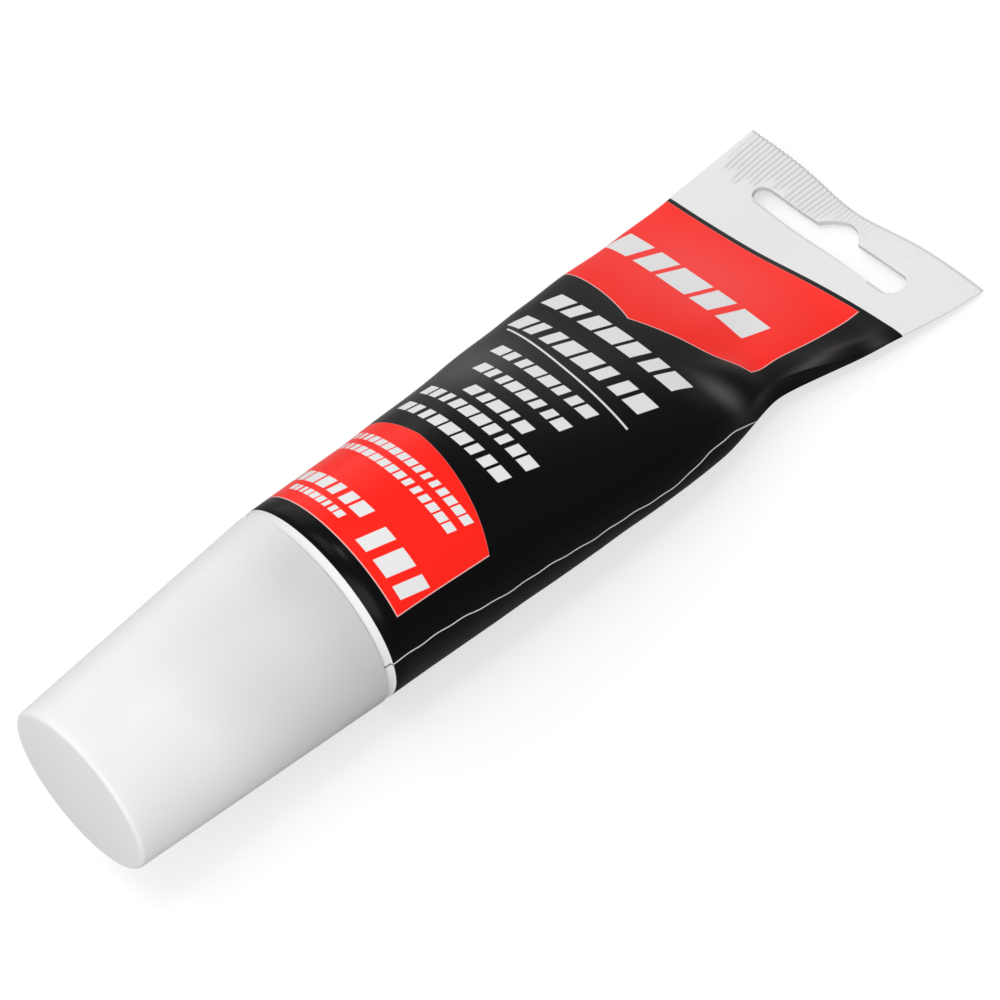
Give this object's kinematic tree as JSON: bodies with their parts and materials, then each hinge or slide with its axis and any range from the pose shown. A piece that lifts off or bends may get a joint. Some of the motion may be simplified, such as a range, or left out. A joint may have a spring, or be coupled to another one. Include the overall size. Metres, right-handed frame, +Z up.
{
  "type": "caulk tube",
  "caption": "Flat-ended laminate squeeze tube of caulk with a tall tapered overcap, a nozzle under it and a hang slot in the tail seal.",
  "frame": {"origin": "on the surface that the tube lies on, under the middle of the tube's box", "axes": "+X along the tube from the overcap to the sealed tail, +Y towards the side of the tail's raised corner, +Z up"},
  "size_m": [0.1462, 0.0498, 0.0322],
  "materials": {
    "laminate": "glossy printed laminate film",
    "head_plastic": "moulded polyethylene",
    "foil": "bright foil",
    "nozzle_plastic": "moulded polyethylene",
    "cap_plastic": "satin moulded polypropylene"
  },
  "bodies": {
    "tube": {"sleeve": "laminate", "head": "head_plastic", "neck_seal": "foil"},
    "nozzle": {"nozzle": "nozzle_plastic"},
    "cap": {"cap": "cap_plastic"}
  },
  "joints": [
    {"name": "cap_pull", "type": "slide", "parent": "tube", "child": "cap", "axis": [-0.9976, 0, 0.0698], "range_m": [0, 0.05]},
    {"name": "nozzle_turn", "type": "hinge", "parent": "tube", "child": "nozzle", "pos_m": [-0.04995, -0.00178, 0.01734], "axis": [-0.9976, 0, 0.0698], "range_deg": [0, 720]}
  ]
}
